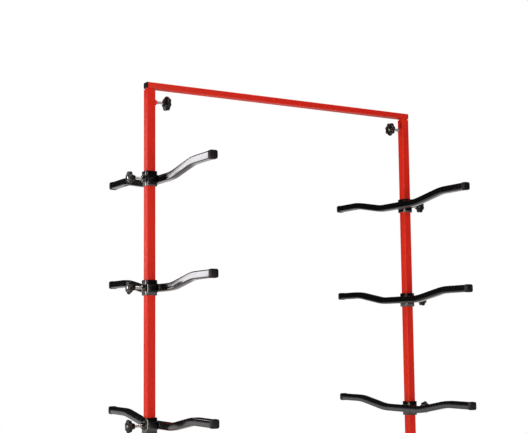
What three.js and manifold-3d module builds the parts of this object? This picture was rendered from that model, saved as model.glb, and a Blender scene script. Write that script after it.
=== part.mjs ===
// Free-standing rack that holds skis and boards on both of its sides, in millimetres, +Z up.
// X runs along the crossbar, Y from the front arms to the back arms, and the origin is on the floor
// under the middle of the rack.
import * as THREE from "three";
import { mergeVertices } from "three/addons/utils/BufferGeometryUtils.js";
import Module from "manifold-3d";

const wasm = await Module();
wasm.setup();

// Overall
const rackHeight = 1960; // floor to the top of the crossbar, with the crossbar at its rest height
const postSpan = 1062; // between the centre lines of the two uprights
const collarHeights = {
  left: { top: 1638, middle: 1281, bottom: 840 },
  right: { top: 1606, middle: 1251, bottom: 850 },
};

// Clearances
const weldGap = 0.3; // between two pieces that are welded or pressed face to face
const collarClearance = 1; // each side, between a collar and the upright inside it
const legClearance = 0.5; // each side, between a leg and the upright's bore
const holeClearance = 0.5; // round a screw that passes through a plain hole
const threadClearance = 0.3; // round a screw in its nut, boss or knob

// Upright
const postSize = 30;
const postWall = 2;
const tubeCorner = 2.5; // outside corner radius of the steel tubes

// Crossbar and the two legs that slide down into the uprights
const crossbarDepth = 30;
const crossbarHeight = 20;
const crossbarWall = 2;
const legWall = 2;
const legShown = 4; // between the crossbar's underside and the top of the upright
const legInside = 250; // length of the leg inside the upright

// Star knob screws that clamp the legs
const screwRadius = 5;
const screwBelowTop = 40; // from the top of the upright to the screw
const nutAcrossFlats = 17;
const nutThickness = 8;
const topKnobReach = 56; // from the upright's inner face to the knob's outer face
const topKnobRadius = 25;
const topKnobHead = 16;
const topKnobNeck = 8;
const topKnobNeckRadius = 11;

// Collar and its clamp screw
const collarWall = 4;
const collarHeight = 50;
const collarCorner = 5;
const bossRadius = 13;
const bossTipRadius = 10;
const bossLength = 8;
const clampKnobReach = 58; // from the collar's outer face to the knob's outer face
const clampKnobRadius = 22.5;
const clampKnobHead = 12;
const clampKnobNeck = 13;
const clampKnobNeckRadius = 12;
const knobLobes = 7;
const knobLobeDepth = 3.5;

// Arm
const armSize = 25;
const armWall = 1.5;
const armHalfLength = 385; // from the upright's centre to the outside of an end cap
const armFlatHalf = 80; // straight stretch in the middle, measured from the centre
const armRise = 27; // from the middle stretch up to the end stretch
const armBendRadius = 275;
const armBendAngle = THREE.MathUtils.degToRad(10.5);
const capWall = 1.2;
const capEnd = 2;
const capLength = 13;

// Base
const padHeight = 10;
const padRadius = 18;
const padTopRadius = 15;
const padInset = 40; // from the end of the foot to the centre of its pad
const footWidth = 40;
const footHeight = 40;
const footWall = 2;
const footLength = 800;
const tieBarHeight = 300; // floor to the centre line of the tie bar
const plugFlange = 3;
const plugSpigot = 14;

// Sizes worked out from the ones above
const postTop = rackHeight - crossbarHeight - legShown;
const postBottom = padHeight + footHeight + weldGap;
const screwHeight = postTop - screwBelowTop;
const legSize = postSize - 2 * (postWall + legClearance);
const collarSize = postSize + 2 * (collarClearance + collarWall);
const armOffset = collarSize / 2 + weldGap + armSize / 2;

// Finishes
const redPaint = { color: 0xb52420, roughness: 0.42, metalness: 0.0 };
const blackPaint = { color: 0x0b0b0d, roughness: 0.25, metalness: 0.0 };
const blackPlastic = { color: 0x141316, roughness: 0.5, metalness: 0.0 };
const zinc = { color: 0xb9bcc2, roughness: 0.35, metalness: 0.9 };
const rubber = { color: 0x1b1b1b, roughness: 0.9, metalness: 0.0 };

const alongX = new THREE.Matrix4().makeBasis(
  new THREE.Vector3(0, 1, 0),
  new THREE.Vector3(0, 0, 1),
  new THREE.Vector3(1, 0, 0),
);
const alongY = new THREE.Matrix4().makeBasis(
  new THREE.Vector3(-1, 0, 0),
  new THREE.Vector3(0, 0, 1),
  new THREE.Vector3(0, 1, 0),
);
const alongZ = new THREE.Matrix4();

function solidOf(geometry) {
  const bare = new THREE.BufferGeometry();
  const flat = geometry.index ? geometry.toNonIndexed() : geometry;
  bare.setAttribute("position", flat.getAttribute("position"));
  const merged = mergeVertices(bare, 1e-3);
  const mesh = new wasm.Mesh({
    numProp: 3,
    vertProperties: merged.attributes.position.array,
    triVerts: new Uint32Array(merged.index.array),
  });
  return new wasm.Manifold(mesh);
}

function geometryOf(solid) {
  const mesh = solid.getMesh();
  const geometry = new THREE.BufferGeometry();
  geometry.setAttribute("position", new THREE.BufferAttribute(mesh.vertProperties, 3));
  geometry.setIndex(new THREE.BufferAttribute(mesh.triVerts, 1));
  const facets = geometry.toNonIndexed();
  facets.computeVertexNormals();
  return facets;
}

// The first geometry with the others cut out of it.
function cut(geometry, ...tools) {
  return geometryOf(tools.reduce((rest, tool) => rest.subtract(solidOf(tool)), solidOf(geometry)));
}

function join(...geometries) {
  return geometryOf(geometries.map(solidOf).reduce((all, next) => all.add(next)));
}

function roundedRectangle(width, height, radius) {
  const x = width / 2 - radius;
  const y = height / 2 - radius;
  const quarter = Math.PI / 2;
  const shape = new THREE.Shape();
  shape.absarc(x, -y, radius, -quarter, 0);
  shape.absarc(x, y, radius, 0, quarter);
  shape.absarc(-x, y, radius, quarter, 2 * quarter);
  shape.absarc(-x, -y, radius, 2 * quarter, 3 * quarter);
  return shape;
}

function rectangle(width, height) {
  const x = width / 2;
  const y = height / 2;
  const corners = [
    [-x, -y],
    [x, -y],
    [x, y],
    [-x, y],
  ];
  return new THREE.Shape(corners.map(([cx, cy]) => new THREE.Vector2(cx, cy)));
}

// A shape drawn across the axis and extruded to the length, centred on the origin.
function prism(shape, length, axis) {
  const geometry = new THREE.ExtrudeGeometry(shape, {
    depth: length,
    bevelEnabled: false,
    curveSegments: 1,
  });
  geometry.translate(0, 0, -length / 2);
  return geometry.applyMatrix4(axis);
}

function squareTube(width, height, wall, corner, length, axis) {
  const outside = prism(roundedRectangle(width, height, corner), length, axis);
  const bore = rectangle(width - 2 * wall, height - 2 * wall);
  return cut(outside, prism(bore, length + 2 * wall, axis));
}

// A turned piece whose axis is X. The profile's points are [distance along X, radius].
function turned(profile, segments = 16) {
  const points = profile.map(([x, radius]) => new THREE.Vector2(radius, x));
  return new THREE.LatheGeometry(points, segments).rotateZ(-Math.PI / 2);
}

function rod(from, to, radius, segments) {
  const profile = [
    [from, 0],
    [from, radius],
    [to, radius],
    [to, 0],
  ];
  return turned(profile, segments);
}

// A clamp screw that points along +X: its tip is at zero, and its end is flush with the knob's face.
function screw(length) {
  const chamfer = 1;
  const profile = [
    [0, 0],
    [0, screwRadius - chamfer],
    [chamfer, screwRadius],
    [length - chamfer, screwRadius],
    [length, screwRadius - chamfer],
    [length, 0],
  ];
  return turned(profile, 12);
}

// A star knob on the X axis, with its outer face at zero and its neck towards -X.
function starKnob(radius, head, neck, neckRadius) {
  const outline = new THREE.Shape();
  const steps = knobLobes * 5;
  const points = Array.from({ length: steps }, (_, i) => {
    const angle = (2 * Math.PI * i) / steps;
    const r = radius - (knobLobeDepth * (1 - Math.cos(knobLobes * angle))) / 2;
    return new THREE.Vector2(r * Math.cos(angle), r * Math.sin(angle));
  });
  outline.setFromPoints(points);
  const star = prism(outline, head, alongX).translate(-head / 2, 0, 0);
  const cone = turned([
    [-head - neck, 0],
    [-head - neck, neckRadius * 0.7],
    [-head / 2, neckRadius],
    [-head / 2, 0],
  ]);
  const bore = rod(-head - neck - 1, 1, screwRadius + threadClearance);
  return cut(join(star, cone), bore);
}

function hexNut() {
  const corner = nutAcrossFlats / 2 / Math.cos(Math.PI / 6);
  const points = Array.from({ length: 6 }, (_, i) => {
    const angle = (Math.PI / 3) * i;
    return new THREE.Vector2(corner * Math.cos(angle), corner * Math.sin(angle));
  });
  const bore = rod(-nutThickness, nutThickness, screwRadius + threadClearance);
  return cut(prism(new THREE.Shape(points), nutThickness, alongX), bore);
}

// A tube plug along the axis: a flange against the tube's end and a spigot into its bore. The
// flange's outer face is at the origin's plane, and the spigot points towards the axis's minus side.
function tubePlug(width, height, wall, corner, axis) {
  const flange = prism(roundedRectangle(width, height, corner), plugFlange, alongZ);
  flange.translate(0, 0, -plugFlange / 2);
  const inset = 2 * (wall + weldGap);
  const length = plugSpigot + plugFlange / 2;
  const spigot = prism(rectangle(width - inset, height - inset), length, alongZ);
  spigot.translate(0, 0, -plugFlange / 2 - length / 2);
  return join(flange, spigot).applyMatrix4(axis);
}

// One side of the arm's centre line, moved up by the offset, from its middle to y = reach.
function armEdge(offset, reach) {
  const bendRun = armBendRadius * Math.sin(armBendAngle);
  const bendRise = armBendRadius * (1 - Math.cos(armBendAngle));
  const slopeRun = (armRise - 2 * bendRise) / Math.tan(armBendAngle);
  const topStart = armFlatHalf + 2 * bendRun + slopeRun;
  const down = -Math.PI / 2;
  const up = Math.PI / 2;
  const path = new THREE.Path();
  path.moveTo(0, offset);
  path.absarc(armFlatHalf, armBendRadius, armBendRadius - offset, down, down + armBendAngle);
  path.absarc(topStart, armRise - armBendRadius, armBendRadius + offset, up + armBendAngle, up, true);
  path.lineTo(reach, armRise + offset);
  return path.getPoints(2);
}

function armOutline(size, reach) {
  const upper = armEdge(size / 2, reach);
  const lower = armEdge(-size / 2, reach);
  const mirrored = (points) => points.slice(1).map((p) => new THREE.Vector2(-p.x, p.y));
  const outline = [
    ...lower,
    ...upper.slice(1).reverse(),
    ...mirrored(upper),
    ...mirrored(lower).reverse(),
  ];
  return new THREE.Shape(outline);
}

function bentArm() {
  const reach = armHalfLength - capEnd - weldGap;
  const outside = prism(armOutline(armSize, reach), armSize, alongX);
  const bore = armSize - 2 * armWall;
  return cut(outside, prism(armOutline(bore, reach + capEnd), bore, alongX));
}

// An end cap that slips over the arm's end, with its closed face at y = 0 and its mouth at -Y.
function armCap() {
  const inside = armSize + 2 * weldGap;
  const outside = inside + 2 * capWall;
  const shell = prism(roundedRectangle(outside, outside, 2), capLength, alongY);
  const mouth = prism(rectangle(inside, inside), capLength, alongY);
  return cut(shell.translate(0, -capLength / 2, 0), mouth.translate(0, -capLength / 2 - capEnd, 0));
}

// A collar round the upright, with its threaded boss on the +X side.
function collar() {
  const sleeve = squareTube(collarSize, collarSize, collarWall, collarCorner, collarHeight, alongZ);
  const face = collarSize / 2;
  const boss = turned([
    [face - collarWall / 2, 0],
    [face - collarWall / 2, bossRadius],
    [face + bossLength / 2, bossRadius],
    [face + bossLength, bossTipRadius],
    [face + bossLength, 0],
  ]);
  const bore = rod(postSize / 2, face + bossLength + 1, screwRadius + threadClearance);
  return cut(join(sleeve, boss), bore);
}

// An upright with the hole for its clamp screw through the wall on the +X side.
function post() {
  const length = postTop - postBottom;
  const tube = squareTube(postSize, postSize, postWall, tubeCorner, length, alongZ);
  const hole = rod(postSize / 2 - 2 * postWall, postSize, screwRadius + holeClearance);
  hole.translate(0, 0, screwHeight - (postTop + postBottom) / 2);
  return cut(tube, hole);
}

function footPad() {
  const profile = [
    [0, 0],
    [0, padRadius],
    [padHeight * 0.4, padRadius],
    [padHeight - weldGap, padTopRadius],
    [padHeight - weldGap, 0],
  ];
  return turned(profile, 20).rotateY(-Math.PI / 2);
}

const rack = new THREE.Group();

function place(name, geometry, finish, position, turn = 0, parent = rack) {
  const mesh = new THREE.Mesh(geometry, new THREE.MeshStandardMaterial(finish));
  mesh.name = name;
  mesh.position.set(...position);
  mesh.rotation.z = turn;
  parent.add(mesh);
}

function addCrossbar() {
  const length = postSpan + postSize - 2 * plugFlange - 2 * weldGap;
  const centre = rackHeight - crossbarHeight / 2;
  const size = [crossbarDepth, crossbarHeight, crossbarWall, tubeCorner];
  place("crossbar", squareTube(...size, length, alongX), redPaint, [0, 0, centre]);
  const legLength = legShown + legInside - weldGap;
  const legCentre = rackHeight - crossbarHeight - weldGap - legLength / 2;
  for (const [side, sign] of sides) {
    const end = (sign * (postSpan + postSize)) / 2;
    const turn = sign > 0 ? 0 : Math.PI;
    place(`crossbar_plug_${side}`, tubePlug(...size, alongX), blackPlastic, [end, 0, centre], turn);
    const leg = squareTube(legSize, legSize, legWall, tubeCorner, legLength, alongZ);
    place(`inner_leg_${side}`, leg, redPaint, [(sign * postSpan) / 2, 0, legCentre]);
  }
}

function addPost(side, sign) {
  const x = (sign * postSpan) / 2;
  const inwards = sign > 0 ? Math.PI : 0;
  place(`post_${side}`, post(), redPaint, [x, 0, (postTop + postBottom) / 2], inwards);
  const nutX = x - sign * (postSize / 2 + weldGap + nutThickness / 2);
  place(`top_nut_${side}`, hexNut(), redPaint, [nutX, 0, screwHeight]);
  const tip = legSize / 2 + weldGap;
  const face = postSize / 2 + topKnobReach;
  place(`top_stud_${side}`, screw(face - tip), zinc, [x - sign * tip, 0, screwHeight], inwards);
  const knob = starKnob(topKnobRadius, topKnobHead, topKnobNeck, topKnobNeckRadius);
  place(`top_knob_${side}`, knob, blackPlastic, [x - sign * face, 0, screwHeight], inwards);
}

function addFoot(side, sign) {
  const x = (sign * postSpan) / 2;
  const z = padHeight + footHeight / 2;
  const size = [footWidth, footHeight, footWall, tubeCorner];
  const length = footLength - 2 * plugFlange - 2 * weldGap;
  place(`foot_${side}`, squareTube(...size, length, alongY), redPaint, [x, 0, z]);
  for (const [end, way] of ends) {
    const turn = way > 0 ? 0 : Math.PI;
    const y = (way * footLength) / 2;
    place(`foot_plug_${side}_${end}`, tubePlug(...size, alongY), blackPlastic, [x, y, z], turn);
    place(`foot_pad_${side}_${end}`, footPad(), rubber, [x, y - way * padInset, 0]);
  }
}

// A collar with its arm and clamp screw, in a group whose origin is the collar's centre.
function addStation(side, sign, level, height) {
  const station = new THREE.Group();
  station.position.set((sign * postSpan) / 2, 0, height);
  rack.add(station);
  const outwards = sign > 0 ? 0 : Math.PI;
  const id = `${side}_${level}`;
  place(`collar_${id}`, collar(), blackPaint, [0, 0, 0], outwards, station);
  place(`arm_${id}`, bentArm(), blackPaint, [-sign * armOffset, 0, 0], 0, station);
  for (const [end, way] of ends) {
    const turn = way > 0 ? 0 : Math.PI;
    const tip = [-sign * armOffset, way * armHalfLength, armRise];
    place(`arm_cap_${id}_${end}`, armCap(), blackPlastic, tip, turn, station);
  }
  const tip = postSize / 2 + weldGap;
  const face = collarSize / 2 + clampKnobReach;
  place(`clamp_stud_${id}`, screw(face - tip), zinc, [sign * tip, 0, 0], outwards, station);
  const knob = starKnob(clampKnobRadius, clampKnobHead, clampKnobNeck, clampKnobNeckRadius);
  place(`clamp_knob_${id}`, knob, blackPlastic, [sign * face, 0, 0], outwards, station);
}

const sides = [
  ["left", -1],
  ["right", 1],
];
const ends = [
  ["front", -1],
  ["back", 1],
];

addCrossbar();
const tieLength = postSpan - postSize - 2 * weldGap;
const tieBar = squareTube(postSize, postSize, postWall, tubeCorner, tieLength, alongX);
place("tie_bar", tieBar, redPaint, [0, 0, tieBarHeight]);
for (const [side, sign] of sides) {
  addPost(side, sign);
  addFoot(side, sign);
  for (const [level, height] of Object.entries(collarHeights[side])) {
    addStation(side, sign, level, height);
  }
}

export default rack;
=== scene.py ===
import math

import bmesh
import bpy
from mathutils import Matrix, Vector


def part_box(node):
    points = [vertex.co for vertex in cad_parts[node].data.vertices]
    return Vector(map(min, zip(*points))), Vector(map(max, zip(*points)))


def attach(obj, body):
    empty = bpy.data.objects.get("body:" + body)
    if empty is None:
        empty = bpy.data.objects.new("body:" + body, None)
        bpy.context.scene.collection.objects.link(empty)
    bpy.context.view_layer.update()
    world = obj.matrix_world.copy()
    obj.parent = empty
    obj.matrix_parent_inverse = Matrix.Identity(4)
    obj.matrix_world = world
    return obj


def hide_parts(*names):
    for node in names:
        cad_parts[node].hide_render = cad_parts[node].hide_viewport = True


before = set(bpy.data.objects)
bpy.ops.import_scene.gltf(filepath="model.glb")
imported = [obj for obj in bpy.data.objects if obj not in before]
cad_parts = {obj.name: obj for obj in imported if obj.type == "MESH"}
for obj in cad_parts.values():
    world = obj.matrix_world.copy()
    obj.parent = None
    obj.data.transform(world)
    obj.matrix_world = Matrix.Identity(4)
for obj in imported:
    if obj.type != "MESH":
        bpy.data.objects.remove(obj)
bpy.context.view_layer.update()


# Camera
# It stands in front of the rack and to its left, at breast height, and looks a little upwards with a
# short telephoto lens.
camera_data = bpy.data.cameras.new("camera")
camera_data.lens = 72.55
camera_data.sensor_width = 36
camera_data.shift_y = 0.0218
camera = bpy.data.objects.new("camera", camera_data)
camera.location = (-1.996, -3.156, 1.120)
camera.rotation_euler = (math.radians(95.82), math.radians(0.60), math.radians(-31.01))
bpy.context.scene.collection.objects.link(camera)
bpy.context.scene.camera = camera


# Studio floor
# A pale, matt paper floor. Beyond a few metres it brightens into the plain white surroundings, so that
# it has no edge.
FLOOR_RADIUS = 14
FADE_START = 1.4
FADE_END = 5.0
FLOOR_SIDES = 96


def add_node(tree, kind, inputs=None, **settings):
    """A new node with its settings made, and each named input set to a value or linked to a socket."""
    node = tree.nodes.new(kind)
    for name, value in settings.items():
        setattr(node, name, value)
    for name, value in (inputs or {}).items():
        if isinstance(value, bpy.types.NodeSocket):
            tree.links.new(value, node.inputs[name])
        else:
            node.inputs[name].default_value = value
    return node


def new_material(name):
    """An empty material with its node tree and output node."""
    material = bpy.data.materials.new(name)
    material.use_nodes = True
    material.node_tree.nodes.clear()
    return material, material.node_tree, material.node_tree.nodes.new("ShaderNodeOutputMaterial")


def floor_material():
    material, tree, output = new_material("floor_paper")
    place = add_node(tree, "ShaderNodeTexCoord")
    distance = add_node(tree, "ShaderNodeVectorMath", {0: place.outputs["Object"]}, operation="LENGTH")
    fade = add_node(tree, "ShaderNodeMapRange", {
        "Value": distance.outputs["Value"],
        "From Min": FADE_START,
        "From Max": FADE_END,
    }, interpolation_type="SMOOTHSTEP")
    ray = add_node(tree, "ShaderNodeLightPath")
    seen_or_mirrored = add_node(tree, "ShaderNodeMath", {
        0: ray.outputs["Is Camera Ray"],
        1: ray.outputs["Is Glossy Ray"],
    }, operation="MAXIMUM")
    share = add_node(tree, "ShaderNodeMath", {
        0: fade.outputs["Result"],
        1: seen_or_mirrored.outputs["Value"],
    }, operation="MULTIPLY")
    fibres = add_node(tree, "ShaderNodeTexNoise", {"Vector": place.outputs["Object"], "Scale": 600.0})
    tone = add_node(tree, "ShaderNodeMapRange", {
        "Value": fibres.outputs["Fac"],
        "To Min": 0.84,
        "To Max": 0.88,
    })
    paper = add_node(tree, "ShaderNodeBsdfDiffuse", {"Color": tone.outputs["Result"]})
    white = add_node(tree, "ShaderNodeEmission", {"Color": (1, 1, 1, 1), "Strength": 1.0})
    mixed = add_node(tree, "ShaderNodeMixShader", {
        0: share.outputs["Value"],
        1: paper.outputs["BSDF"],
        2: white.outputs["Emission"],
    })
    tree.links.new(mixed.outputs["Shader"], output.inputs["Surface"])
    return material


floor_mesh = bmesh.new()
bmesh.ops.create_circle(floor_mesh, cap_ends=True, segments=FLOOR_SIDES, radius=FLOOR_RADIUS)
floor = bpy.data.objects.new("floor", bpy.data.meshes.new("floor"))
floor_mesh.to_mesh(floor.data)
floor_mesh.free()
floor.data.materials.append(floor_material())
bpy.context.scene.collection.objects.link(floor)


# Studio light
# A warm softbox on the left, a broad one in front with a small one over it, a weak fill on the right
# and a wide one overhead. The left arms' gloss black mirrors a narrow panel behind them. The room is
# white to the eye and dim to the paint, so that black stays black.
def softbox(name, place, target, width, height, power, colour):
    light = bpy.data.lights.new(name, "AREA")
    light.shape = "RECTANGLE"
    light.size = width
    light.size_y = height
    light.energy = power
    light.color = colour
    lamp = bpy.data.objects.new(name, light)
    lamp.location = place
    lamp.rotation_euler = (Vector(target) - Vector(place)).to_track_quat("-Z", "Y").to_euler()
    lamp.visible_camera = False
    bpy.context.scene.collection.objects.link(lamp)


softbox("key_softbox", (-4.0, 1.2, 1.0), (0, 0, 1.0), 1.8, 2.2, 95, (1.0, 0.80, 0.50))
softbox("front_softbox", (-0.9, -6.0, 1.1), (0, 0, 0.9), 2.4, 1.8, 158, (1.0, 0.92, 0.80))
softbox("high_softbox", (-1.4, -4.6, 3.2), (0, 0, 1.6), 2.0, 1.2, 22, (1.0, 0.88, 1.0))
softbox("right_fill", (4.5, 0.5, 2.2), (0, 0, 1.0), 2.0, 2.4, 15, (0.95, 0.97, 1.0))
softbox("back_panel", (-1.195, 1.0, 1.63), (-1.195, 0, 1.63), 0.25, 0.95, 4.8, (0.99, 0.96, 1.0))
softbox("top_softbox", (0, 0.2, 5.0), (0, 0, 1.0), 4.0, 4.0, 150, (1.0, 1.0, 1.0))

world = bpy.data.worlds.new("studio")
world.use_nodes = True
world.node_tree.nodes.clear()
seen = add_node(world.node_tree, "ShaderNodeBackground", {"Color": (1, 1, 1, 1), "Strength": 1.0})
felt = add_node(world.node_tree, "ShaderNodeBackground", {"Color": (0.9, 0.95, 1, 1), "Strength": 0.02})
world_ray = add_node(world.node_tree, "ShaderNodeLightPath")
world_mix = add_node(world.node_tree, "ShaderNodeMixShader", {
    0: world_ray.outputs["Is Camera Ray"],
    1: felt.outputs["Background"],
    2: seen.outputs["Background"],
})
add_node(world.node_tree, "ShaderNodeOutputWorld", {"Surface": world_mix.outputs["Shader"]})
bpy.context.scene.world = world
bpy.context.scene.view_settings.view_transform = "Standard"


# Rubber pads
# Four moulded rubber buttons that keep the rack off the floor, each with a wider sole, a groove above
# it, and a tapered top pressed against the underside of the foot.
sides = {"left": -1, "right": 1}
ends = {"front": -1, "back": 1}
PAD_STEPS = 64
CREASE = math.radians(40)


def value_group(name, inputs, outputs):
    """A node group with number inputs and outputs: its tree, its input node and its output node."""
    tree = bpy.data.node_groups.new(name, "ShaderNodeTree")
    for label, value in inputs.items():
        socket = tree.interface.new_socket(label, in_out="INPUT", socket_type="NodeSocketFloat")
        socket.default_value = value
    for label in outputs:
        tree.interface.new_socket(label, in_out="OUTPUT", socket_type="NodeSocketFloat")
    return tree, tree.nodes.new("NodeGroupInput"), tree.nodes.new("NodeGroupOutput")


def build_blotches():
    """Slow changes over the surface, from 0 to 1, about one in each 1/Scale metres."""
    tree, given, result = value_group("blotches", {"Scale": 20.0, "Contrast": 0.35}, ["Mask"])
    place = add_node(tree, "ShaderNodeTexCoord")
    noise = add_node(tree, "ShaderNodeTexNoise", {
        "Vector": place.outputs["Object"],
        "Scale": given.outputs["Scale"],
        "Detail": 4.0,
        "Roughness": 0.6,
    })
    low = add_node(tree, "ShaderNodeMath", {0: 0.5, 1: given.outputs["Contrast"]}, operation="SUBTRACT")
    high = add_node(tree, "ShaderNodeMath", {0: 0.5, 1: given.outputs["Contrast"]}, operation="ADD")
    spread = add_node(tree, "ShaderNodeMapRange", {
        "Value": noise.outputs["Fac"],
        "From Min": low.outputs["Value"],
        "From Max": high.outputs["Value"],
    })
    tree.links.new(spread.outputs["Result"], result.inputs["Mask"])
    return tree


def build_grain():
    """A fine pebbled height, from 0 to 1, as a mould's texture or sprayed paint's orange peel."""
    tree, given, result = value_group("grain", {"Scale": 900.0, "Coarseness": 0.5}, ["Height"])
    place = add_node(tree, "ShaderNodeTexCoord")
    cells = add_node(tree, "ShaderNodeTexVoronoi", {
        "Vector": place.outputs["Object"],
        "Scale": given.outputs["Scale"],
    }, feature="SMOOTH_F1")
    noise = add_node(tree, "ShaderNodeTexNoise", {
        "Vector": place.outputs["Object"],
        "Scale": given.outputs["Scale"],
        "Detail": 3.0,
    })
    mixed = add_node(tree, "ShaderNodeMix", {
        "Factor": given.outputs["Coarseness"],
        "A": noise.outputs["Fac"],
        "B": cells.outputs["Distance"],
    })
    tree.links.new(mixed.outputs["Result"], result.inputs["Height"])
    return tree


def build_dust():
    """Where dust lies: on what faces up, in soft patches."""
    tree, given, result = value_group("dust", {"Amount": 0.5, "Scale": 60.0}, ["Mask"])
    surface = add_node(tree, "ShaderNodeNewGeometry")
    parts = add_node(tree, "ShaderNodeSeparateXYZ", {"Vector": surface.outputs["Normal"]})
    upward = add_node(tree, "ShaderNodeMapRange", {
        "Value": parts.outputs["Z"],
        "From Min": 0.35,
        "From Max": 1.0,
    })
    place = add_node(tree, "ShaderNodeTexCoord")
    noise = add_node(tree, "ShaderNodeTexNoise", {
        "Vector": place.outputs["Object"],
        "Scale": given.outputs["Scale"],
        "Detail": 6.0,
        "Roughness": 0.7,
    })
    patches = add_node(tree, "ShaderNodeMapRange", {
        "Value": noise.outputs["Fac"],
        "From Min": 0.35,
        "From Max": 0.75,
    })
    lying = add_node(tree, "ShaderNodeMath", {
        0: upward.outputs["Result"],
        1: patches.outputs["Result"],
    }, operation="MULTIPLY")
    amount = add_node(tree, "ShaderNodeMath", {
        0: lying.outputs["Value"],
        1: given.outputs["Amount"],
    }, operation="MULTIPLY")
    tree.links.new(amount.outputs["Value"], result.inputs["Mask"])
    return tree


blotches = build_blotches()
grain = build_grain()
dust = build_dust()


def use_group(tree, group, **values):
    """A copy of a node group placed in a material, with its own values."""
    node = tree.nodes.new("ShaderNodeGroup")
    node.node_tree = group
    for name, value in values.items():
        node.inputs[name].default_value = value
    return node


def mix_colours(tree, share, first, second):
    """First and second mixed by a mask. Each is a colour, or a socket that gives one."""
    mixed = add_node(tree, "ShaderNodeMix", {"Factor": share}, data_type="RGBA")
    for index, colour in ((6, first), (7, second)):
        if isinstance(colour, bpy.types.NodeSocket):
            tree.links.new(colour, mixed.inputs[index])
        else:
            mixed.inputs[index].default_value = (*colour, 1)
    return mixed.outputs[2]


def from_mask(tree, mask, low, high):
    """A number that goes from low to high as the mask goes from 0 to 1."""
    spread = add_node(tree, "ShaderNodeMapRange", {"Value": mask, "To Min": low, "To Max": high})
    return spread.outputs["Result"]


def bump(tree, height, depth, below=None):
    """A surface normal with this height in it, up to depth metres, laid over another normal."""
    inputs = {"Height": height, "Strength": 1.0, "Distance": depth}
    if below is not None:
        inputs["Normal"] = below
    return add_node(tree, "ShaderNodeBump", inputs).outputs["Normal"]


def rubber_material():
    material, tree, output = new_material("rubber")
    patches = use_group(tree, blotches, Scale=45.0, Contrast=0.25).outputs["Mask"]
    lying = use_group(tree, dust, Amount=0.5, Scale=110.0).outputs["Mask"]
    pebble = use_group(tree, grain, Scale=1400.0, Coarseness=0.6).outputs["Height"]
    colour = mix_colours(tree, patches, (0.012, 0.012, 0.013), (0.022, 0.021, 0.020))
    dusty = mix_colours(tree, lying, colour, (0.16, 0.15, 0.14))
    shader = add_node(tree, "ShaderNodeBsdfPrincipled", {
        "Base Color": dusty,
        "Roughness": from_mask(tree, patches, 0.62, 0.78),
        "Specular IOR Level": 0.35,
        "Normal": bump(tree, pebble, 0.0001),
    })
    tree.links.new(shader.outputs["BSDF"], output.inputs["Surface"])
    return material


def turn_profile(bm, points, centre, outward, steps):
    """Points of (distance along the axis, radius) spun once round the axis through centre."""
    across = outward.orthogonal().normalized()
    verts = [bm.verts.new(centre + outward * along + across * radius) for along, radius in points]
    edges = [bm.edges.new(pair) for pair in zip(verts, verts[1:])]
    spun = bmesh.ops.spin(
        bm, geom=verts + edges, cent=centre, axis=outward, angle=2 * math.pi,
        steps=steps, use_merge=True,
    )
    return spun["geom_last"]


def make_piece(name, bm, material, slot, body, *nodes):
    """Turns a finished bmesh into a smooth piece that rides on a body and stands for CAD nodes."""
    mesh = bpy.data.meshes.new(name)
    bm.to_mesh(mesh)
    bm.free()
    mesh.shade_smooth()
    mesh.set_sharp_from_angle(angle=CREASE)
    mesh.materials.append(material)
    piece = bpy.data.objects.new(name, mesh)
    bpy.context.scene.collection.objects.link(piece)
    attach(piece, body)
    if nodes:
        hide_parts(*nodes)
    return piece


def close_up(bm):
    """Merges the seams and poles of a closed shape and turns its faces outwards."""
    bmesh.ops.remove_doubles(bm, verts=bm.verts, dist=1e-6)
    bmesh.ops.recalc_face_normals(bm, faces=bm.faces)


rubber = rubber_material()
for side in sides:
    for end in ends:
        low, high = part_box(f"foot_pad_{side}_{end}")
        centre = Vector(((low.x + high.x) / 2, (low.y + high.y) / 2, low.z))
        sole = (high.x - low.x) / 2
        tall = high.z - low.z
        outline = [
            (0, 0), (0, sole * 0.86), (0.0004, sole * 0.93), (0.0014, sole * 0.985), (0.0026, sole),
            (0.0034, sole * 0.99), (0.0040, sole * 0.95), (0.0044, sole * 0.93), (0.0049, sole * 0.935),
            (0.0055, sole * 0.93), (tall - 0.0012, sole * 0.85), (tall - 0.0003, sole * 0.82),
            (tall, sole * 0.79), (tall, 0),
        ]
        bm = bmesh.new()
        turn_profile(bm, outline, centre, Vector((0, 0, 1)), PAD_STEPS)
        close_up(bm)
        make_piece(f"rubber_pad_{side}_{end}", bm, rubber, "rubber", "frame", f"foot_pad_{side}_{end}")


# Feet
# Two lengths of 40 mm square steel tube that lie front to back. They are sawn, welded under the
# uprights and sprayed red with them.
TUBE_WALL = 0.002
TUBE_CORNER = 0.0028
CORNER_STEPS = 6
RIM_ANGLE = math.radians(60)
RIM_DEBURR = 0.0003
PAINT_RED = (0.74, 0.024, 0.013)
PAINT_RED_DEEP = (0.66, 0.018, 0.013)
# Lighter, more orange red for the corners: partly thin, worn paint and partly a painted highlight on
# the rounded corners.
PAINT_RED_WORN_EDGE_HIGHLIGHT = (0.86, 0.12, 0.035)
PAINT_RED_RUBBED = (0.62, 0.07, 0.045)
DUST_GREY = (0.42, 0.38, 0.35)


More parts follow.
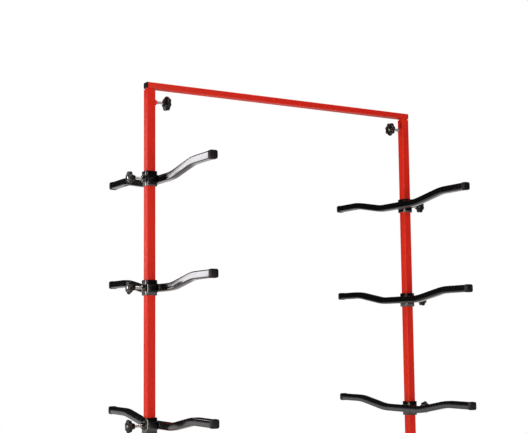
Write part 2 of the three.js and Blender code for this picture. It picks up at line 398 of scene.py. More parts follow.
def build_edge_wear_and_highlight():
    """Where paint is thin or rubbed along the corners that the edge attribute marks. The red paint also
    uses this mask for a painted highlight on those corners.
    """
    tree, given, result = value_group("edge_wear_and_highlight", {"Scale": 160.0, "Patchiness": 0.5}, ["Mask"])
    marked = add_node(tree, "ShaderNodeAttribute", attribute_name="edge")
    place = add_node(tree, "ShaderNodeTexCoord")
    noise = add_node(tree, "ShaderNodeTexNoise", {
        "Vector": place.outputs["Object"],
        "Scale": given.outputs["Scale"],
        "Detail": 5.0,
        "Roughness": 0.65,
    })
    gaps = add_node(tree, "ShaderNodeMath", {
        0: noise.outputs["Fac"],
        1: given.outputs["Patchiness"],
    }, operation="MULTIPLY")
    left = add_node(tree, "ShaderNodeMath", {
        0: marked.outputs["Fac"],
        1: gaps.outputs["Value"],
    }, operation="SUBTRACT", use_clamp=True)
    tree.links.new(left.outputs["Value"], result.inputs["Mask"])
    return tree


def build_scuffs():
    """Fine scratches that run up and down, where sliding pieces and skis have rubbed."""
    tree, given, result = value_group("scuffs", {"Scale": 420.0, "Amount": 0.5}, ["Mask"])
    place = add_node(tree, "ShaderNodeTexCoord")
    stretched = add_node(tree, "ShaderNodeMapping", {
        "Vector": place.outputs["Object"],
        "Scale": (1.0, 1.0, 0.035),
    })
    noise = add_node(tree, "ShaderNodeTexNoise", {
        "Vector": stretched.outputs["Vector"],
        "Scale": given.outputs["Scale"],
        "Detail": 4.0,
        "Roughness": 0.7,
    })
    lines = add_node(tree, "ShaderNodeMapRange", {
        "Value": noise.outputs["Fac"],
        "From Min": 0.60,
        "From Max": 0.72,
    })
    amount = add_node(tree, "ShaderNodeMath", {
        0: lines.outputs["Result"],
        1: given.outputs["Amount"],
    }, operation="MULTIPLY")
    tree.links.new(amount.outputs["Value"], result.inputs["Mask"])
    return tree


edge_wear_and_highlight = build_edge_wear_and_highlight()
scuffs = build_scuffs()


def red_paint_material():
    material, tree, output = new_material("red_paint")
    patches = use_group(tree, blotches, Scale=14.0, Contrast=0.3).outputs["Mask"]
    worn_and_lit_edges = use_group(tree, edge_wear_and_highlight, Scale=130.0, Patchiness=0.6).outputs["Mask"]
    rubbed = use_group(tree, scuffs, Scale=420.0, Amount=0.45).outputs["Mask"]
    lying = use_group(tree, dust, Amount=0.10, Scale=70.0).outputs["Mask"]
    peel = use_group(tree, grain, Scale=650.0, Coarseness=0.25).outputs["Height"]
    sprayed = mix_colours(tree, patches, PAINT_RED_DEEP, PAINT_RED)
    # The corners go lighter towards orange: partly worn paint and partly a painted highlight.
    worn_and_highlighted = mix_colours(tree, worn_and_lit_edges, sprayed, PAINT_RED_WORN_EDGE_HIGHLIGHT)
    scratched = mix_colours(tree, rubbed, worn_and_highlighted, PAINT_RED_RUBBED)
    dusty = mix_colours(tree, lying, scratched, DUST_GREY)
    gloss = from_mask(tree, patches, 0.40, 0.48)
    rough = add_node(tree, "ShaderNodeMath", {0: lying, 1: gloss}, operation="ADD")
    rougher = add_node(tree, "ShaderNodeMath", {
        0: rubbed,
        1: 0.25,
        2: rough.outputs["Value"],
    }, operation="MULTIPLY_ADD")
    shader = add_node(tree, "ShaderNodeBsdfPrincipled", {
        "Base Color": dusty,
        "Roughness": rougher.outputs["Value"],
        "Specular IOR Level": 0.2,
        "Specular Tint": (1.0, 0.72, 0.5, 1),
        "Normal": bump(tree, peel, 0.0001),
    })
    tree.links.new(shader.outputs["BSDF"], output.inputs["Surface"])
    return material


def mark_edges(bm):
    """Gives each face the edge attribute: 0 where it faces squarely along X, Y or Z, 1 at a corner."""
    layer = bm.loops.layers.float.get("edge") or bm.loops.layers.float.new("edge")
    slant_of_corner = 1 - math.sqrt(0.5)
    for face in bm.faces:
        slant = 1 - max(abs(part) for part in face.normal)
        for loop in face.loops:
            loop[layer] = min(1.0, slant / slant_of_corner)


def section_loop(bm, width, height, corner, place):
    """The outline of a round-cornered rectangle, as the edges and vertices of one loop."""
    sheet = bmesh.ops.create_grid(bm, x_segments=1, y_segments=1, size=0.5)
    bmesh.ops.scale(bm, vec=(width, height, 1), verts=sheet["verts"])
    rounded = bmesh.ops.bevel(
        bm, geom=sheet["verts"], offset=corner, offset_type="OFFSET", segments=CORNER_STEPS,
        profile=0.5, affect="VERTICES", material=-1,
    )
    face = max(rounded["faces"] + list(bm.faces), key=lambda found: len(found.verts))
    bmesh.ops.transform(bm, matrix=place, verts=face.verts)
    edges = list(face.edges)
    bmesh.ops.delete(bm, geom=[face], context="FACES_ONLY")
    return edges


def verts_in(parts):
    return [part for part in parts if isinstance(part, bmesh.types.BMVert)]


def edges_in(parts):
    return [part for part in parts if isinstance(part, bmesh.types.BMEdge)]


def pull_loop(bm, edges, way):
    """Extrudes a loop of edges along a vector and gives the edges at its far end."""
    pulled = bmesh.ops.extrude_edge_only(bm, edges=edges)["geom"]
    bmesh.ops.translate(bm, vec=way, verts=verts_in(pulled))
    return edges_in(pulled)


def across(axis):
    """The turn that stands a section, drawn in X and Y, across an axis: X, Y or Z."""
    columns = {
        "X": (Vector((0, 1, 0)), Vector((0, 0, 1)), Vector((1, 0, 0))),
        "Y": (Vector((-1, 0, 0)), Vector((0, 0, 1)), Vector((0, 1, 0))),
        "Z": (Vector((1, 0, 0)), Vector((0, 1, 0)), Vector((0, 0, 1))),
    }[axis]
    return Matrix(columns).transposed().to_4x4()


def round_rims(bm, edges, size, steps):
    """Rounds edges off by this size, in so many steps."""
    bmesh.ops.bevel(
        bm, geom=edges, offset=size, offset_type="OFFSET", segments=steps, profile=0.5,
        affect="EDGES", material=-1,
    )


def rims_of(bm):
    return [edge for edge in bm.edges if edge.calc_face_angle(0) > RIM_ANGLE]


def square_tube(bm, low, high, axis, wall, corner):
    """A hollow tube that fills the box from low to high, open at both ends, with deburred rims."""
    index = "XYZ".index(axis)
    size = high - low
    start = (low + high) / 2
    start[index] = low[index]
    width = size.y if axis == "X" else size.x
    height = size.y if axis == "Z" else size.z
    way = Vector((0, 0, 0))
    way[index] = size[index]
    edges = section_loop(bm, width, height, corner, Matrix.Translation(start) @ across(axis))
    pull_loop(bm, edges, way)
    close_up(bm)
    bmesh.ops.solidify(bm, geom=bm.faces, thickness=wall)
    round_rims(bm, rims_of(bm), RIM_DEBURR, 2)


red_paint = red_paint_material()
for side in sides:
    low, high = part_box(f"foot_{side}")
    bm = bmesh.new()
    square_tube(bm, low, high, "Y", TUBE_WALL, TUBE_CORNER)
    mark_edges(bm)
    make_piece(f"foot_tube_{side}", bm, red_paint, "red_paint", "frame", f"foot_{side}")


# Foot plugs
# Ribbed black polyethylene plugs, tapped into the open ends of the feet. Each has a thin flange with a
# slightly sunk face, and a spigot that grips the bore.
PLUG_FLANGE = 0.003
PLUG_ROUNDING = 0.0009
PLUG_SINK = 0.0005
PLUG_BORDER = 0.0018
PLUG_STEP = 0.0003
PLUG_SLACK = 0.0003


def plastic_material():
    material, tree, output = new_material("black_plastic")
    patches = use_group(tree, blotches, Scale=35.0, Contrast=0.3).outputs["Mask"]
    lying = use_group(tree, dust, Amount=0.12, Scale=120.0).outputs["Mask"]
    pebble = use_group(tree, grain, Scale=1900.0, Coarseness=0.4).outputs["Height"]
    moulded = mix_colours(tree, patches, (0.0024, 0.0022, 0.0030), (0.0048, 0.0044, 0.0054))
    dusty = mix_colours(tree, lying, moulded, (0.15, 0.14, 0.14))
    shader = add_node(tree, "ShaderNodeBsdfPrincipled", {
        "Base Color": dusty,
        "Roughness": from_mask(tree, patches, 0.26, 0.38),
        "Specular IOR Level": 0.3,
        "Normal": bump(tree, pebble, 0.00004),
    })
    tree.links.new(shader.outputs["BSDF"], output.inputs["Surface"])
    return material


def tube_plug(low, high, axis, outer, corner):
    """A plug that fills the box from low to high, with its flange at the outer side: 1 is plus."""
    index = "XYZ".index(axis)
    size = high - low
    width = size.x if axis == "Y" else size.y
    face = (low + high) / 2
    face[index] = high[index] if outer > 0 else low[index]
    inwards = Vector((0, 0, 0))
    inwards[index] = -outer
    bm = bmesh.new()
    edges = section_loop(bm, width, size.z, corner, Matrix.Translation(face) @ across(axis))
    back = pull_loop(bm, edges, inwards * PLUG_FLANGE)
    rim = bmesh.ops.contextual_create(bm, geom=back)["faces"]
    front = bmesh.ops.contextual_create(bm, geom=edges)["faces"]
    bmesh.ops.recalc_face_normals(bm, faces=bm.faces)
    spigot_size = size[index] - PLUG_FLANGE
    bmesh.ops.inset_region(bm, faces=rim, thickness=TUBE_WALL + PLUG_SLACK)
    spigot = bmesh.ops.extrude_face_region(bm, geom=rim)["geom"]
    bmesh.ops.delete(bm, geom=rim, context="FACES_ONLY")
    bmesh.ops.translate(bm, vec=inwards * spigot_size, verts=verts_in(spigot))
    bmesh.ops.inset_region(bm, faces=front, thickness=PLUG_BORDER)
    bmesh.ops.inset_region(bm, faces=front, thickness=PLUG_STEP)
    bmesh.ops.translate(bm, vec=inwards * PLUG_SINK, verts=list(front[0].verts))
    round_rims(bm, rims_of(bm), PLUG_ROUNDING, 3)
    close_up(bm)
    return bm


black_plastic = plastic_material()
for side in sides:
    for end, way in ends.items():
        node = f"foot_plug_{side}_{end}"
        bm = tube_plug(*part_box(node), "Y", way, TUBE_CORNER)
        make_piece(f"foot_end_plug_{side}_{end}", bm, black_plastic, "black_plastic", "frame", node)


# Uprights
# Square steel tubes, 30 mm across, welded on top of the feet and sprayed red. A plain hole near the top
# of each one, on its inner side, lets the clamp screw through to the leg inside.
SCREW_HOLE = 0.0055
HOLE_STEPS = 32
HOLE_WINDOW = 1.5
BEAD_SIDES = 10
RIPPLE_STEPS = 4
RIPPLE_DEPTH = 0.09
BEAD_BLUNTNESS = 14
POST_BEAD = 0.0030
POST_BEAD_RIPPLES = 11


def everything_in(bm):
    return list(bm.verts) + list(bm.edges) + list(bm.faces)


def drill(bm, centre, radius, walls):
    """A round hole along X in a square window of one wall. walls are the X of its two faces."""
    reach = radius * HOLE_WINDOW
    for normal in (Vector((0, 1, 0)), Vector((0, 0, 1))):
        for shift in (-reach, reach):
            place = centre + normal * shift
            bmesh.ops.bisect_plane(
                bm, geom=everything_in(bm), dist=1e-6, plane_co=place, plane_no=normal,
            )
    rounds = []
    turn = Matrix.Rotation(math.pi / 2, 4, "Y")
    for x in walls:
        spot = Vector((x, centre.y, centre.z))
        window = min(bm.faces, key=lambda face: (face.calc_center_median() - spot).length)
        square = list(window.edges)
        bmesh.ops.delete(bm, geom=[window], context="FACES_ONLY")
        ring = bmesh.ops.create_circle(
            bm, cap_ends=False, segments=HOLE_STEPS, radius=radius,
            matrix=Matrix.Translation(spot) @ turn,
        )["verts"]
        edges = [edge for edge in bm.edges if edge.verts[0] in ring and edge.verts[1] in ring]
        bmesh.ops.triangle_fill(bm, use_beauty=True, edges=square + edges)
        rounds += edges
    bmesh.ops.bridge_loops(bm, edges=rounds)


def weld_bead(bm, route, ripples, closed):
    """A rippled weld. The route gives, for 0 to 1, a point and the two directions across the bead."""
    steps = ripples * RIPPLE_STEPS
    sheet = bmesh.ops.create_grid(bm, x_segments=steps, y_segments=BEAD_SIDES, size=1)["verts"]
    for vert in sheet:
        along = (vert.co.x + 1) / 2
        angle = math.pi * (vert.co.y + 1)
        point, out, up = route(along)
        ripple = 1 + RIPPLE_DEPTH * math.cos(2 * math.pi * ripples * along)
        taper = 1 if closed else math.sqrt(1 - abs(2 * along - 1) ** BEAD_BLUNTNESS)
        vert.co = point + (out * math.cos(angle) + up * math.sin(angle)) * ripple * taper
    bmesh.ops.remove_doubles(bm, verts=sheet, dist=1e-6)


def straight_route(start, finish, out, up):
    return lambda along: (start.lerp(finish, along), out, up)


def beads_round(end, axis, half, lift, gap, wide, tall):
    """Routes of the four beads round the end of a square tube that is twice half across. Each bead is
    lifted off its face and stops a gap short of the corners."""
    routes = []
    for turn in range(4):
        place = Matrix.Rotation(turn * math.pi / 2, 3, axis) @ across(axis).to_3x3()
        out = place @ Vector((half + lift, 0, 0))
        run = place @ Vector((0, half - gap, 0))
        up = place @ Vector((0, 0, tall))
        routes.append(straight_route(end + out - run, end + out + run, out.normalized() * wide, up))
    return routes


def ring_route(centre, axis, radius, out, up):
    """Round an axis: out is the bead's half width along the radius, and up its half height."""
    first = axis.orthogonal().normalized()
    second = axis.cross(first)

    def spot(along):
        angle = 2 * math.pi * along
        ray = first * math.cos(angle) + second * math.sin(angle)
        return centre + ray * radius, ray * out, axis * up

    return spot


def add_beads(bm, routes, ripples, closed=False):
    """Weld beads joined to a piece, with their faces turned outwards."""
    before = set(bm.faces)
    for route in routes:
        weld_bead(bm, route, ripples, closed)
    fresh = [face for face in bm.faces if face not in before]
    bmesh.ops.recalc_face_normals(bm, faces=fresh)


for side, sign in sides.items():
    low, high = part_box(f"post_{side}")
    screw_low, screw_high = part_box(f"top_stud_{side}")
    bm = bmesh.new()
    square_tube(bm, low, high, "Z", TUBE_WALL, TUBE_CORNER)
    inner = high.x if sign < 0 else low.x
    hole = (screw_low + screw_high) / 2
    drill(bm, hole, SCREW_HOLE, (inner, inner + sign * TUBE_WALL))
    close_up(bm)
    mark_edges(bm)
    half = (high.x - low.x) / 2
    foot_top = Vector(((low.x + high.x) / 2, 0, low.z))
    welds = beads_round(foot_top, "Z", half, lift=0.0006, gap=0.0025, wide=POST_BEAD, tall=POST_BEAD)
    add_beads(bm, welds, POST_BEAD_RIPPLES)
    make_piece(f"upright_{side}", bm, red_paint, "red_paint", "frame", f"post_{side}")


# Tie bar
# A length of the same tube between the uprights near the floor. It is welded to their inner faces and
# keeps the rack square.
TIE_BEAD = 0.0026
TIE_BEAD_RIPPLES = 10

low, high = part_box("tie_bar")
bm = bmesh.new()
square_tube(bm, low, high, "X", TUBE_WALL, TUBE_CORNER)
mark_edges(bm)
half = (high.z - low.z) / 2
for x in (low.x, high.x):
    end = Vector((x, 0, (low.z + high.z) / 2))
    welds = beads_round(end, "X", half, lift=0.0003, gap=0.0035, wide=TIE_BEAD, tall=TIE_BEAD)
    add_beads(bm, welds, TIE_BEAD_RIPPLES)
make_piece("tie_tube", bm, red_paint, "red_paint", "frame", "tie_bar")


# Crossbar and its legs
# A flat 30 by 20 mm tube with a square leg welded under each end. The legs slide down inside the
# uprights, so the crossbar lifts, and it is sprayed red like them.
LEG_BEAD_WIDE = 0.0019
LEG_BEAD_TALL = 0.0017
LEG_BEAD_RIPPLES = 9

low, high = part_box("crossbar")
bm = bmesh.new()
square_tube(bm, low, high, "X", TUBE_WALL, TUBE_CORNER)
mark_edges(bm)
for side in sides:
    leg_low, leg_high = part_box(f"inner_leg_{side}")
    half = (leg_high.x - leg_low.x) / 2
    leg_top = Vector(((leg_low.x + leg_high.x) / 2, 0, low.z))
    welds = beads_round(
        leg_top, "Z", half, lift=0.0003, gap=0.002, wide=LEG_BEAD_WIDE, tall=LEG_BEAD_TALL,
    )
    add_beads(bm, welds, LEG_BEAD_RIPPLES)
make_piece("crossbar_tube", bm, red_paint, "red_paint", "crossbar_lift", "crossbar")

for side, sign in sides.items():
    bm = bmesh.new()
    square_tube(bm, *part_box(f"inner_leg_{side}"), "Z", TUBE_WALL, TUBE_CORNER)
    mark_edges(bm)
    make_piece(f"sliding_leg_{side}", bm, red_paint, "red_paint", "crossbar_lift", f"inner_leg_{side}")
    node = f"crossbar_plug_{side}"
    bm = tube_plug(*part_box(node), "X", sign, TUBE_CORNER)
    make_piece(f"crossbar_end_plug_{side}", bm, black_plastic, "black_plastic", "crossbar_lift", node)


# Top nuts
# An M10 nut welded over the hole in the inner face of each upright and sprayed red with it. Its outer
# corners are chamfered as on any turned nut.
NUT_HOLE = 0.0053
NUT_CUTS = 7
NUT_CHAMFER_START = 0.98
NUT_CHAMFER_SLOPE = math.tan(math.radians(30))
NUT_BEAD_WIDE = 0.0020
NUT_BEAD_TALL = 0.0018
NUT_BEAD_RIPPLES = 34


def hex_nut(low, high, outer):
    """A nut on the X axis in the box from low to high, chamfered on the outer side: 1 is plus."""
    centre = (low + high) / 2
    flats = (high.y - low.y) / 2 * math.cos(math.pi / 6)
    turn = Matrix.Rotation(math.pi / 2, 4, "Y")
    place = Matrix.Translation(centre) @ turn @ Matrix.Rotation(math.pi / 2, 4, "Z")
    thick = high.x - low.x
    bm = bmesh.new()
    loops = []
    for radius, steps in ((flats / math.cos(math.pi / 6), 6), (NUT_HOLE, 6 * (NUT_CUTS + 1))):
        ring = bmesh.ops.create_circle(
            bm, cap_ends=False, segments=steps, radius=radius, matrix=place,
        )["verts"]
        loops.append([edge for edge in bm.edges if edge.verts[0] in ring and edge.verts[1] in ring])
    bmesh.ops.subdivide_edges(bm, edges=loops[0], cuts=NUT_CUTS)
    hexagon = [edge for edge in bm.edges if edge not in loops[1]]
    ring = bmesh.ops.bridge_loops(bm, edges=hexagon + loops[1])["faces"]
    bmesh.ops.translate(bm, vec=(-thick / 2, 0, 0), verts=bm.verts)
    top = bmesh.ops.extrude_face_region(bm, geom=ring, use_keep_orig=True)["geom"]
    bmesh.ops.translate(bm, vec=(thick, 0, 0), verts=verts_in(top))
    outer_x = centre.x + outer * thick / 2
    for vert in bm.verts:
        reach = Vector((vert.co.y - centre.y, vert.co.z - centre.z)).length
        if abs(vert.co.x - outer_x) < 1e-6:
            vert.co.x -= outer * max(0, reach - flats * NUT_CHAMFER_START) * NUT_CHAMFER_SLOPE
    close_up(bm)
    return bm


for side, sign in sides.items():
    low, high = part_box(f"top_nut_{side}")
    bm = hex_nut(low, high, -sign)
    mark_edges(bm)
    seat = Vector((high.x if sign > 0 else low.x, (low.y + high.y) / 2, (low.z + high.z) / 2))
    radius = (high.z - low.z) / 2 + 0.0002
    ring = ring_route(seat, Vector((1, 0, 0)), radius, NUT_BEAD_WIDE, NUT_BEAD_TALL)
    add_beads(bm, [ring], NUT_BEAD_RIPPLES, closed=True)
    make_piece(f"welded_nut_{side}", bm, red_paint, "red_paint", "frame", f"top_nut_{side}")


# Clamp screws
# M10 threaded studs of bright zinc-plated steel, one in each knob. The thread is rolled, and the tip is
# chamfered where it presses on the tube.
THREAD_PITCH = 0.0015
THREAD_DEPTH = 0.00085
TURN_STEPS = 24
TIP_CHAMFER = 0.0011


def zinc_material():
    material, tree, output = new_material("zinc")
    patches = use_group(tree, blotches, Scale=90.0, Contrast=0.3).outputs["Mask"]
    rubbed = use_group(tree, scuffs, Scale=1500.0, Amount=0.6).outputs["Mask"]
    lying = use_group(tree, dust, Amount=0.35, Scale=260.0).outputs["Mask"]
    crystals = use_group(tree, grain, Scale=4200.0, Coarseness=0.5).outputs["Height"]
    plated = mix_colours(tree, patches, (0.60, 0.62, 0.66), (0.78, 0.77, 0.72))
    dulled = mix_colours(tree, lying, plated, (0.32, 0.29, 0.26))
    rough = add_node(tree, "ShaderNodeMath", {
        0: rubbed,
        1: 0.2,
        2: from_mask(tree, patches, 0.20, 0.34),
    }, operation="MULTIPLY_ADD")
    shader = add_node(tree, "ShaderNodeBsdfPrincipled", {
        "Base Color": dulled,
        "Metallic": 1.0,
        "Roughness": rough.outputs["Value"],
        "Normal": bump(tree, crystals, 0.00002),
    })
    tree.links.new(shader.outputs["BSDF"], output.inputs["Surface"])
    return material


def threaded_stud(low, high):
    """A threaded rod along X in the box from low to high."""
    radius = (high.z - low.z) / 2
    middle = (low + high) / 2
    root = radius - THREAD_DEPTH
    start = Vector((low.x - 2 * THREAD_PITCH, middle.y, middle.z))
    ridge = [(0, root), (0.14, root), (0.44, radius), (0.56, radius), (0.86, root), (1, root)]
    bm = bmesh.new()
    verts = [bm.verts.new(start + Vector((x * THREAD_PITCH, 0, r))) for x, r in ridge]
    edges = [bm.edges.new(pair) for pair in zip(verts, verts[1:])]
    bmesh.ops.spin(
        bm, geom=verts + edges, cent=start, axis=Vector((1, 0, 0)), angle=2 * math.pi,
        dvec=Vector((THREAD_PITCH / TURN_STEPS, 0, 0)), steps=TURN_STEPS, use_merge=False,
    )
    one_turn = everything_in(bm)
    for turn in range(1, math.ceil((high.x - low.x) / THREAD_PITCH) + 3):
        copied = bmesh.ops.duplicate(bm, geom=one_turn)["geom"]
        bmesh.ops.translate(bm, vec=(turn * THREAD_PITCH, 0, 0), verts=verts_in(copied))
    bmesh.ops.remove_doubles(bm, verts=bm.verts, dist=2e-6)
    for x, way in ((low.x, -1), (high.x, 1)):
        cut = bmesh.ops.bisect_plane(
            bm, geom=everything_in(bm), dist=1e-7, plane_co=(x, 0, 0), plane_no=(way, 0, 0),
            clear_outer=True,
        )["geom_cut"]
        bmesh.ops.holes_fill(bm, edges=edges_in(cut), sides=0)
    for vert in bm.verts:
        from_end = min(vert.co.x - low.x, high.x - vert.co.x)
        ray = Vector((0, vert.co.y - middle.y, vert.co.z - middle.z))
        allowed = radius - TIP_CHAMFER + from_end
        if ray.length > allowed:
            vert.co -= ray.normalized() * (ray.length - allowed)
    bmesh.ops.recalc_face_normals(bm, faces=bm.faces)
    return bm


zinc = zinc_material()
for side in sides:
    node = f"top_stud_{side}"
    bm = threaded_stud(*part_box(node))
    make_piece(f"top_screw_{side}", bm, zinc, "zinc", f"top_clamp_{side}_screw", node)


# Top star knobs
# Seven-lobed knobs of glossy black moulded plastic on the ends of the clamp screws. The face is dished
# round a hub, and the steel end of the screw shows in the middle.
KNOB_LOBES = 7
KNOB_STEPS = KNOB_LOBES * 14
KNOB_BORE = 0.0051
KNOB_HUB = 0.36
LOBES_START = 0.52
LOBES_FULL = 0.92
LOBE_ROUNDNESS = 1.5
TOP_KNOB_RADIUS = 0.025
TOP_KNOB_HEAD = 0.016
TOP_KNOB_NECK = 0.008
TOP_NECK_RADIUS = 0.011
TOP_LOBE_DEPTH = 0.0038


def star_knob(centre, outward, radius, head, neck, neck_radius, lobe_depth):
    """A knob with the middle of its outer face at centre. Its neck points against outward."""
    hub = radius * KNOB_HUB
    profile = [
        (-0.0006, KNOB_BORE), (0, KNOB_BORE + 0.0004), (0, hub - 0.0006), (-0.0005, hub),
        (-0.0020, hub + 0.0016), (-0.0025, hub + 0.0034), (-0.0022, radius * 0.62),
        (-0.0008, radius * 0.76), (-0.0002, radius * 0.81), (-0.0003, radius * 0.86),
        (-0.0012, radius * 0.925), (-0.0028, radius * 0.97), (-0.0050, radius * 0.993),
        (-head * 0.5, radius), (-head * 0.72, radius * 0.985), (-head * 0.86, radius * 0.95),
        (-head * 0.95, radius * 0.89), (-head, radius * 0.80), (-head - 0.0002, neck_radius + 0.003),
        (-head - 0.0007, neck_radius + 0.0012), (-head - 0.0024, neck_radius),
        (-head - neck * 0.6, neck_radius * 0.84), (-head - neck + 0.0008, neck_radius * 0.75),
        (-head - neck + 0.0002, neck_radius * 0.73), (-head - neck, neck_radius * 0.70),
        (-head - neck, KNOB_BORE), (-0.0006, KNOB_BORE),
    ]
    bm = bmesh.new()
    turn_profile(bm, profile, centre, outward, KNOB_STEPS)
    close_up(bm)
    first = outward.orthogonal().normalized()
    second = outward.cross(first)
    for vert in bm.verts:
        ray = vert.co - centre
        ray -= outward * ray.dot(outward)
        share = (ray.length / radius - LOBES_START) / (LOBES_FULL - LOBES_START)
        share = min(1, max(0, share))
        smooth = share * share * (3 - 2 * share)
        angle = math.atan2(ray.dot(second), ray.dot(first))
        hollow = abs(math.sin(KNOB_LOBES * angle / 2)) ** LOBE_ROUNDNESS
        vert.co -= ray.normalized() * lobe_depth * hollow * smooth
    bmesh.ops.recalc_face_normals(bm, faces=bm.faces)
    return bm


for side, sign in sides.items():
    node = f"top_knob_{side}"
    low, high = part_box(node)
    stud_low, stud_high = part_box(f"top_stud_{side}")
    face_x = high.x if sign < 0 else low.x
    face = Vector((face_x, (low.y + high.y) / 2, (stud_low.z + stud_high.z) / 2))
    bm = star_knob(
        face, Vector((-sign, 0, 0)), TOP_KNOB_RADIUS, TOP_KNOB_HEAD, TOP_KNOB_NECK, TOP_NECK_RADIUS,
        TOP_LOBE_DEPTH,
    )
    make_piece(f"top_star_knob_{side}", bm, black_plastic, "black_plastic",
               f"top_clamp_{side}_handle", node)


# Collars
# Short 40 mm square sleeves that slide on the uprights, one for each pair of arms. A turned boss is
# welded to the outer face, tapped for the clamp screw, and all of it is sprayed gloss black.
levels = ["top", "middle", "bottom"]
COLLAR_WALL = 0.004
COLLAR_CORNER = 0.0055
BOSS_RADIUS = 0.013
BOSS_TIP_RADIUS = 0.010
BOSS_BORE = 0.0053
BOSS_STEPS = 48
BOSS_BEAD = 0.0022
BOSS_BEAD_RIPPLES = 30
SEAM_BEAD_WIDE = 0.0028
SEAM_BEAD_TALL = 0.0024
SEAM_BEAD_RIPPLES = 12
PAINT_BLACK = (0.0015, 0.0015, 0.0019)
PAINT_BLACK_PATCH = (0.0026, 0.0024, 0.0030)
PAINT_BLACK_WORN = (0.018, 0.017, 0.019)


def black_paint_material():
    material, tree, output = new_material("black_paint")
    patches = use_group(tree, blotches, Scale=18.0, Contrast=0.3).outputs["Mask"]
    worn_and_lit_edges = use_group(tree, edge_wear_and_highlight, Scale=170.0, Patchiness=0.9).outputs["Mask"]
    lying = use_group(tree, dust, Amount=0.02, Scale=90.0).outputs["Mask"]
    peel = use_group(tree, grain, Scale=520.0, Coarseness=0.2).outputs["Height"]
    sprayed = mix_colours(tree, patches, PAINT_BLACK, PAINT_BLACK_PATCH)
    rubbed = mix_colours(tree, worn_and_lit_edges, sprayed, PAINT_BLACK_WORN)
    dusty = mix_colours(tree, lying, rubbed, (0.20, 0.18, 0.18))
    rough = add_node(tree, "ShaderNodeMath", {
        0: lying,
        1: 1.2,
        2: from_mask(tree, patches, 0.10, 0.16),
    }, operation="MULTIPLY_ADD")
    shader = add_node(tree, "ShaderNodeBsdfPrincipled", {
        "Base Color": dusty,
        "Roughness": rough.outputs["Value"],
        "Specular IOR Level": 0.9,
        "Normal": bump(tree, peel, 0.00002),
    })
    tree.links.new(shader.outputs["BSDF"], output.inputs["Surface"])
    return material


black_paint = black_paint_material()
for side, sign in sides.items():
    for level in levels:
        node = f"collar_{side}_{level}"
        low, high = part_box(node)
        arm_low, arm_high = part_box(f"arm_{side}_{level}")
        depth = (high.y - low.y) / 2
        outward = Vector((sign, 0, 0))
        tip = high.x if sign > 0 else low.x
        inner = low.x if sign > 0 else high.x
        face = inner + sign * 2 * depth
        centre = Vector(((inner + face) / 2, 0, (low.z + high.z) / 2))
        sleeve_low = centre - Vector((depth, depth, (high.z - low.z) / 2))
        sleeve_high = centre + Vector((depth, depth, (high.z - low.z) / 2))
        bm = bmesh.new()
        square_tube(bm, sleeve_low, sleeve_high, "Z", COLLAR_WALL, COLLAR_CORNER)
        drill(bm, centre, BOSS_BORE, (face, face - sign * COLLAR_WALL))
        length = abs(tip - face)
        boss = [
            (0, BOSS_BORE), (0, BOSS_RADIUS), (length * 0.55, BOSS_RADIUS),
            (length - 0.0004, BOSS_TIP_RADIUS + 0.0003), (length, BOSS_TIP_RADIUS - 0.0002),
            (length, BOSS_BORE + 0.0008), (length - 0.0008, BOSS_BORE), (0, BOSS_BORE),
        ]
        seat = Vector((face, 0, centre.z))
        turn_profile(bm, boss, seat, outward, BOSS_STEPS)
        close_up(bm)
        mark_edges(bm)
        ring = ring_route(seat, outward, BOSS_RADIUS + 0.0004, BOSS_BEAD, BOSS_BEAD)
        add_beads(bm, [ring], BOSS_BEAD_RIPPLES, closed=True)
        arm_size = arm_high.x - arm_low.x
        seam_x = inner - sign * 0.0015
        run = depth - 0.004
        seams = []
        for up in (-1, 1):
            z = centre.z + up * (arm_size / 2 - 0.0004)
            seams.append(straight_route(
                Vector((seam_x, -run, z)), Vector((seam_x, run, z)),
                Vector((SEAM_BEAD_WIDE, 0, 0)), Vector((0, 0, SEAM_BEAD_TALL)),
            ))
        add_beads(bm, seams, SEAM_BEAD_RIPPLES)
        make_piece(f"sliding_collar_{side}_{level}", bm, black_paint, "black_paint",
                   f"arm_pair_{side}_{level}", node)


# Arms
# One 25 mm square tube for each collar, bent up at both ends in a lazy S so that skis can't slide off,
# welded across the collar's inner face and sprayed gloss black.
ARM_WALL = 0.0015
ARM_CORNER = 0.0050
ARM_FLAT_HALF = 0.080
ARM_BEND_RADIUS = 0.275
ARM_BEND = math.radians(10.5)
BEND_STEPS = 10


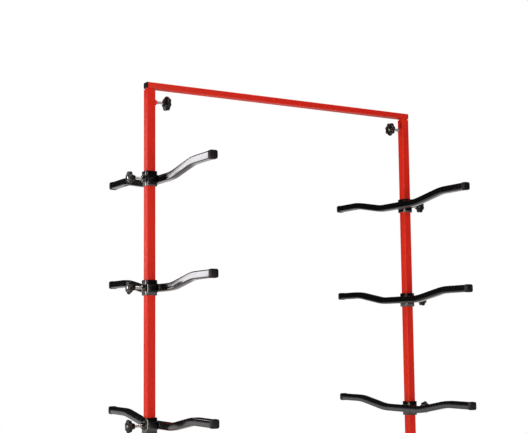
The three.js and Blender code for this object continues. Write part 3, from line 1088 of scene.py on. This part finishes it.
def bent_arm(centre, size, rise, reach):
    """An arm that runs along Y through centre, and out to reach on both sides, rise above it."""
    bm = bmesh.new()
    edges = section_loop(bm, size, size, ARM_CORNER, Matrix.Translation(centre) @ across("Y"))
    edges = pull_loop(bm, edges, Vector((0, ARM_FLAT_HALF, 0)))
    spot = centre + Vector((0, ARM_FLAT_HALF, 0))
    bend_rise = ARM_BEND_RADIUS * (1 - math.cos(ARM_BEND))
    slope = (rise - 2 * bend_rise) / math.sin(ARM_BEND)
    slope_way = Vector((0, math.cos(ARM_BEND), math.sin(ARM_BEND))) * slope
    bend_run = Vector((0, ARM_BEND_RADIUS * math.sin(ARM_BEND), bend_rise))
    for turn in (1, -1):
        pivot = spot + Vector((0, 0, ARM_BEND_RADIUS))
        if turn < 0:
            edges = pull_loop(bm, edges, slope_way)
            spot += slope_way
            back = Matrix.Rotation(ARM_BEND, 3, "X") @ Vector((0, 0, -ARM_BEND_RADIUS))
            pivot = spot + back
        verts = list({vert for edge in edges for vert in edge.verts})
        spun = bmesh.ops.spin(
            bm, geom=verts + edges, cent=pivot, axis=Vector((1, 0, 0)), angle=turn * ARM_BEND,
            steps=BEND_STEPS, use_merge=False,
        )["geom_last"]
        edges = edges_in(spun)
        spot += bend_run
    pull_loop(bm, edges, Vector((0, reach - (spot.y - centre.y), 0)))
    bmesh.ops.mirror(bm, geom=everything_in(bm), axis="Y", merge_dist=1e-5)
    close_up(bm)
    bmesh.ops.solidify(bm, geom=bm.faces, thickness=ARM_WALL)
    return bm


for side in sides:
    for level in levels:
        node = f"arm_{side}_{level}"
        low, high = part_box(node)
        size = high.x - low.x
        centre = Vector(((low.x + high.x) / 2, 0, low.z + size / 2))
        bm = bent_arm(centre, size, high.z - low.z - size, high.y)
        mark_edges(bm)
        make_piece(f"bent_arm_{side}_{level}", bm, black_paint, "black_paint",
                   f"arm_pair_{side}_{level}", node)


# Arm caps
# Soft dipped vinyl caps pushed over the ends of the arms, very dark and faintly purple, with a rolled
# lip at the mouth and a rounded nose.
CAP_CORNER = 0.0064
CAP_WALL = 0.0012
CAP_END = 0.002
CAP_NOSE = 0.0019
CAP_LIP = 0.0022
CAP_LIP_RISE = 0.0003
CAP_LIP_RAMP = 0.0008


def vinyl_material():
    material, tree, output = new_material("cap_vinyl")
    patches = use_group(tree, blotches, Scale=60.0, Contrast=0.3).outputs["Mask"]
    lying = use_group(tree, dust, Amount=0.10, Scale=150.0).outputs["Mask"]
    skin = use_group(tree, grain, Scale=1100.0, Coarseness=0.3).outputs["Height"]
    dipped = mix_colours(tree, patches, (0.0040, 0.0030, 0.0052), (0.0070, 0.0055, 0.0085))
    dusty = mix_colours(tree, lying, dipped, (0.16, 0.15, 0.16))
    shader = add_node(tree, "ShaderNodeBsdfPrincipled", {
        "Base Color": dusty,
        "Roughness": from_mask(tree, patches, 0.34, 0.48),
        "Specular IOR Level": 0.25,
        "Normal": bump(tree, skin, 0.00005),
    })
    tree.links.new(shader.outputs["BSDF"], output.inputs["Surface"])
    return material


def arm_cap(low, high, way):
    """A cap on the Y axis in the box from low to high, with its closed end on the side of way."""
    size = high.x - low.x
    length = high.y - low.y
    nose = Vector(((low.x + high.x) / 2, high.y if way > 0 else low.y, (low.z + high.z) / 2))
    back = Vector((0, -way, 0))
    slim = size - 2 * CAP_LIP_RISE
    bm = bmesh.new()
    edges = section_loop(bm, slim, slim, CAP_CORNER, Matrix.Translation(nose) @ across("Y"))
    end = bmesh.ops.contextual_create(bm, geom=edges)["faces"]
    body = pull_loop(bm, edges, back * (length - CAP_LIP - CAP_LIP_RAMP))
    lip = pull_loop(bm, body, back * CAP_LIP_RAMP)
    grow = size / slim
    lip_verts = list({vert for edge in lip for vert in edge.verts})
    lip_place = Matrix.Translation(-(nose + back * (length - CAP_LIP)))
    bmesh.ops.scale(bm, vec=(grow, 1, grow), space=lip_place, verts=lip_verts)
    mouth = pull_loop(bm, lip, back * CAP_LIP)
    rim = bmesh.ops.contextual_create(bm, geom=mouth)["faces"]
    bmesh.ops.recalc_face_normals(bm, faces=bm.faces)
    bmesh.ops.inset_region(bm, faces=rim, thickness=CAP_WALL)
    inside = bmesh.ops.extrude_face_region(bm, geom=rim)["geom"]
    bmesh.ops.delete(bm, geom=rim, context="FACES_ONLY")
    bmesh.ops.translate(bm, vec=back * -(length - CAP_END), verts=verts_in(inside))
    round_rims(bm, list(end[0].edges), CAP_NOSE, 5)
    close_up(bm)
    return bm


cap_vinyl = vinyl_material()
for side in sides:
    for level in levels:
        for end, way in ends.items():
            node = f"arm_cap_{side}_{level}_{end}"
            bm = arm_cap(*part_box(node), way)
            make_piece(f"dipped_cap_{side}_{level}_{end}", bm, cap_vinyl, "cap_vinyl",
                       f"arm_pair_{side}_{level}", node)


# Collar clamp knobs
# Each collar is locked by an M10 screw through its boss, with a smaller knob of the same kind on the
# outside of the rack.
CLAMP_KNOB_RADIUS = 0.0225
CLAMP_KNOB_HEAD = 0.012
CLAMP_KNOB_NECK = 0.013
CLAMP_NECK_RADIUS = 0.012
CLAMP_LOBE_DEPTH = 0.0032

for side, sign in sides.items():
    for level in levels:
        name = f"{side}_{level}"
        stud_low, stud_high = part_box(f"clamp_stud_{name}")
        bm = threaded_stud(stud_low, stud_high)
        make_piece(f"clamp_screw_{name}", bm, zinc, "zinc", f"clamp_{name}_screw", f"clamp_stud_{name}")
        low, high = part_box(f"clamp_knob_{name}")
        face = Vector((high.x if sign > 0 else low.x, 0, (stud_low.z + stud_high.z) / 2))
        bm = star_knob(
            face, Vector((sign, 0, 0)), CLAMP_KNOB_RADIUS, CLAMP_KNOB_HEAD, CLAMP_KNOB_NECK,
            CLAMP_NECK_RADIUS, CLAMP_LOBE_DEPTH,
        )
        make_piece(f"clamp_star_knob_{name}", bm, black_plastic, "black_plastic",
                   f"clamp_{name}_handle", f"clamp_knob_{name}")
